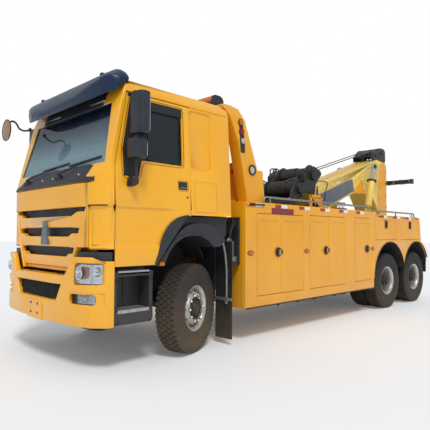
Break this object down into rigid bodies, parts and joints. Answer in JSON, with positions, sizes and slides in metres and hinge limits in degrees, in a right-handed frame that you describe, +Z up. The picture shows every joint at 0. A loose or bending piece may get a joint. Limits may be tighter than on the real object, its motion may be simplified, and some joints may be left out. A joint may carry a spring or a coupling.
{
  "type": "heavy recovery truck",
  "caption": "Cab-over heavy recovery truck with locker bodies, winches, a lifting and extending boom, a folding underlift, steered wheels and opening cab and locker doors.",
  "frame": {"origin": "on the ground under the middle of the vehicle's length and width", "axes": "+X forward, +Y to the vehicle's left, +Z up"},
  "size_m": [9.125, 2.915, 3.6845],
  "materials": {
    "body_paint": "gloss yellow-orange paint",
    "boom_paint": "gloss light yellow paint",
    "chassis_black": "satin black paint",
    "black_plastic": "grained black plastic",
    "visor_plastic": "dark slate plastic",
    "tyre_rubber": "dusty tyre rubber",
    "rim_silver": "silver wheel paint",
    "axle_black": "black cast iron",
    "window_glass": "tinted glass",
    "lamp_lens": "clear and amber lenses",
    "cab_trim": "grey cab trim and seats",
    "winch_black": "worn black paint",
    "cylinder_steel": "polished rods"
  },
  "bodies": {
    "chassis": {"chassis_frame": "chassis_black", "axles_and_springs": "axle_black", "engine": "axle_black", "bumper": "body_paint", "lamps": "lamp_lens", "steps_and_fenders": "black_plastic", "body_left": "body_paint", "body_right": "body_paint", "hoop": "body_paint", "deck": "body_paint", "winch_frame": "winch_black"},
    "cab": {"cab_shell": "body_paint", "windscreen": "window_glass", "sun_visor": "visor_plastic", "front_mirror": "black_plastic", "cab_interior": "cab_trim"},
    "grille_lid": {"front_panel": "body_paint"},
    "cab_door_left": {"door_left": "body_paint", "door_glass_left": "window_glass", "mirror_left": "black_plastic"},
    "cab_door_right": {"door_right": "body_paint", "door_glass_right": "window_glass", "mirror_right": "black_plastic"},
    "steering_knuckle_left": {"knuckle_left": "axle_black"},
    "front_wheel_left": {"front_tyre_left": "tyre_rubber", "front_rim_left": "rim_silver"},
    "mid_wheels_left": {"mid_tyres_left": "tyre_rubber", "mid_rims_left": "rim_silver"},
    "rear_wheels_left": {"rear_tyres_left": "tyre_rubber", "rear_rims_left": "rim_silver"},
    "locker_1_front_door_left": {"locker_1_front_left": "body_paint"},
    "locker_1_rear_door_left": {"locker_1_rear_left": "body_paint"},
    "locker_2_front_door_left": {"locker_2_front_left": "body_paint"},
    "locker_2_rear_door_left": {"locker_2_rear_left": "body_paint"},
    "locker_3_door_left": {"locker_3_left": "body_paint"},
    "lid_front_flap_left": {"lid_front_left": "body_paint"},
    "lid_rear_flap_left": {"lid_rear_left": "body_paint"},
    "steering_knuckle_right": {"knuckle_right": "axle_black"},
    "front_wheel_right": {"front_tyre_right": "tyre_rubber", "front_rim_right": "rim_silver"},
    "mid_wheels_right": {"mid_tyres_right": "tyre_rubber", "mid_rims_right": "rim_silver"},
    "rear_wheels_right": {"rear_tyres_right": "tyre_rubber", "rear_rims_right": "rim_silver"},
    "locker_1_front_door_right": {"locker_1_front_right": "body_paint"},
    "locker_1_rear_door_right": {"locker_1_rear_right": "body_paint"},
    "locker_2_front_door_right": {"locker_2_front_right": "body_paint"},
    "locker_2_rear_door_right": {"locker_2_rear_right": "body_paint"},
    "locker_3_door_right": {"locker_3_right": "body_paint"},
    "lid_front_flap_right": {"lid_front_right": "body_paint"},
    "lid_rear_flap_right": {"lid_rear_right": "body_paint"},
    "front_winch_drum": {"front_drum": "winch_black"},
    "rear_winch_drum": {"rear_drum": "winch_black"},
    "main_boom": {"boom": "boom_paint"},
    "boom_extension": {"boom_head": "chassis_black"},
    "cylinder_barrels": {"lift_barrels": "boom_paint"},
    "cylinder_rods": {"lift_rods": "cylinder_steel"},
    "underlift": {"underlift_arm": "chassis_black"},
    "underlift_slide": {"stinger": "chassis_black"},
    "underlift_crossbar": {"crossbar": "chassis_black"}
  },
  "joints": [
    {"name": "cab_tilt", "type": "hinge", "parent": "chassis", "child": "cab", "pos_m": [4.4325, 0, 0.98], "axis": [0, 1, 0], "range_deg": [0, 50]},
    {"name": "grille_lid_lift", "type": "hinge", "parent": "cab", "child": "grille_lid", "pos_m": [4.4045, 0, 2.066], "axis": [0, -1, 0], "range_deg": [0, 75]},
    {"name": "door_left_swing", "type": "hinge", "parent": "cab", "child": "cab_door_left", "pos_m": [4.1845, 1.225, 1.6], "axis": [0, 0, -1], "range_deg": [0, 70]},
    {"name": "door_right_swing", "type": "hinge", "parent": "cab", "child": "cab_door_right", "pos_m": [4.1845, -1.225, 1.6], "axis": [0, 0, 1], "range_deg": [0, 70]},
    {"name": "steer_left", "type": "hinge", "parent": "chassis", "child": "steering_knuckle_left", "pos_m": [3.0125, 0.87, 0.5625], "axis": [0, 0, 1], "range_deg": [-55, 15]},
    {"name": "front_spin_left", "type": "hinge", "parent": "steering_knuckle_left", "child": "front_wheel_left", "pos_m": [2.96462, 1.00156, 0.5625], "axis": [-0.342, 0.9397, 0], "continuous": true},
    {"name": "mid_spin_left", "type": "hinge", "parent": "chassis", "child": "mid_wheels_left", "pos_m": [-2.4175, 1.05, 0.5625], "axis": [0, 1, 0], "continuous": true},
    {"name": "rear_spin_left", "type": "hinge", "parent": "chassis", "child": "rear_wheels_left", "pos_m": [-3.7675, 1.05, 0.5625], "axis": [0, 1, 0], "continuous": true},
    {"name": "locker_1_front_left_swing", "type": "hinge", "parent": "chassis", "child": "locker_1_front_door_left", "pos_m": [1.8541, 1.248, 1.2], "axis": [0, 0, -1], "range_deg": [0, 90]},
    {"name": "locker_1_rear_left_swing", "type": "hinge", "parent": "chassis", "child": "locker_1_rear_door_left", "pos_m": [0.7217, 1.248, 1.2], "axis": [0, 0, 1], "range_deg": [0, 90]},
    {"name": "locker_2_front_left_swing", "type": "hinge", "parent": "chassis", "child": "locker_2_front_door_left", "pos_m": [0.5241, 1.248, 1.2], "axis": [0, 0, -1], "range_deg": [0, 90]},
    {"name": "locker_2_rear_left_swing", "type": "hinge", "parent": "chassis", "child": "locker_2_rear_door_left", "pos_m": [-0.5893, 1.248, 1.2], "axis": [0, 0, 1], "range_deg": [0, 90]},
    {"name": "locker_3_left_swing", "type": "hinge", "parent": "chassis", "child": "locker_3_door_left", "pos_m": [-0.9389, 1.248, 1.2], "axis": [0, 0, -1], "range_deg": [0, 90]},
    {"name": "lid_front_left_lift", "type": "hinge", "parent": "chassis", "child": "lid_front_flap_left", "pos_m": [-2.2725, 1.248, 1.88], "axis": [1, 0, 0], "range_deg": [0, 90]},
    {"name": "lid_rear_left_lift", "type": "hinge", "parent": "chassis", "child": "lid_rear_flap_left", "pos_m": [-3.453, 1.248, 1.88], "axis": [1, 0, 0], "range_deg": [0, 90]},
    {"name": "steer_right", "type": "hinge", "parent": "chassis", "child": "steering_knuckle_right", "pos_m": [3.0125, -0.87, 0.5625], "axis": [0, 0, 1], "range_deg": [-55, 15]},
    {"name": "front_spin_right", "type": "hinge", "parent": "steering_knuckle_right", "child": "front_wheel_right", "pos_m": [3.06038, -1.00156, 0.5625], "axis": [-0.342, 0.9397, 0], "continuous": true},
    {"name": "mid_spin_right", "type": "hinge", "parent": "chassis", "child": "mid_wheels_right", "pos_m": [-2.4175, -1.05, 0.5625], "axis": [0, 1, 0], "continuous": true},
    {"name": "rear_spin_right", "type": "hinge", "parent": "chassis", "child": "rear_wheels_right", "pos_m": [-3.7675, -1.05, 0.5625], "axis": [0, 1, 0], "continuous": true},
    {"name": "locker_1_front_right_swing", "type": "hinge", "parent": "chassis", "child": "locker_1_front_door_right", "pos_m": [1.8541, -1.248, 1.2], "axis": [0, 0, 1], "range_deg": [0, 90]},
    {"name": "locker_1_rear_right_swing", "type": "hinge", "parent": "chassis", "child": "locker_1_rear_door_right", "pos_m": [0.7217, -1.248, 1.2], "axis": [0, 0, -1], "range_deg": [0, 90]},
    {"name": "locker_2_front_right_swing", "type": "hinge", "parent": "chassis", "child": "locker_2_front_door_right", "pos_m": [0.5241, -1.248, 1.2], "axis": [0, 0, 1], "range_deg": [0, 90]},
    {"name": "locker_2_rear_right_swing", "type": "hinge", "parent": "chassis", "child": "locker_2_rear_door_right", "pos_m": [-0.5893, -1.248, 1.2], "axis": [0, 0, -1], "range_deg": [0, 90]},
    {"name": "locker_3_right_swing", "type": "hinge", "parent": "chassis", "child": "locker_3_door_right", "pos_m": [-0.9389, -1.248, 1.2], "axis": [0, 0, 1], "range_deg": [0, 90]},
    {"name": "lid_front_right_lift", "type": "hinge", "parent": "chassis", "child": "lid_front_flap_right", "pos_m": [-2.2725, -1.248, 1.88], "axis": [-1, 0, 0], "range_deg": [0, 90]},
    {"name": "lid_rear_right_lift", "type": "hinge", "parent": "chassis", "child": "lid_rear_flap_right", "pos_m": [-3.453, -1.248, 1.88], "axis": [-1, 0, 0], "range_deg": [0, 90]},
    {"name": "front_drum_spin", "type": "hinge", "parent": "chassis", "child": "front_winch_drum", "pos_m": [-0.4275, 0, 2.39], "axis": [0, 1, 0], "continuous": true},
    {"name": "rear_drum_spin", "type": "hinge", "parent": "chassis", "child": "rear_winch_drum", "pos_m": [-0.8775, 0, 2.69], "axis": [0, 1, 0], "continuous": true},
    {"name": "boom_lift", "type": "hinge", "parent": "chassis", "child": "main_boom", "pos_m": [-1.2375, 0, 2.17], "axis": [0, 1, 0], "range_deg": [0, 12]},
    {"name": "boom_extend", "type": "slide", "parent": "main_boom", "child": "boom_extension", "axis": [-0.9501, 0, 0.312], "range_m": [0, 1.5]},
    {"name": "barrel_swing", "type": "hinge", "parent": "chassis", "child": "cylinder_barrels", "pos_m": [-2.9975, 0, 2.05], "axis": [0, 1, 0], "range_deg": [-0.2, 14.28]},
    {"name": "rod_slide", "type": "slide", "parent": "cylinder_barrels", "child": "cylinder_rods", "axis": [-0.3135, 0, 0.9496], "range_m": [-0.002, 0.3678]},
    {"name": "underlift_fold", "type": "hinge", "parent": "main_boom", "child": "underlift", "pos_m": [-4.4525, 0, 1.13], "axis": [0, -1, 0], "range_deg": [0, 95]},
    {"name": "stinger_slide", "type": "slide", "parent": "underlift", "child": "underlift_slide", "axis": [0, 0, 1], "range_m": [0, 0.9]},
    {"name": "crossbar_swivel", "type": "hinge", "parent": "underlift_slide", "child": "underlift_crossbar", "pos_m": [-4.4525, 0, 2.825], "axis": [1, 0, 0], "range_deg": [-45, 45]}
  ],
  "couplings": [
    {"joint": "steer_right", "follows": "steer_left", "ratio": 1},
    {"joint": "barrel_swing", "follows": "boom_lift", "ratio": 1.173},
    {"joint": "rod_slide", "follows": "boom_lift", "m_per_rad": 1.7467}
  ]
}
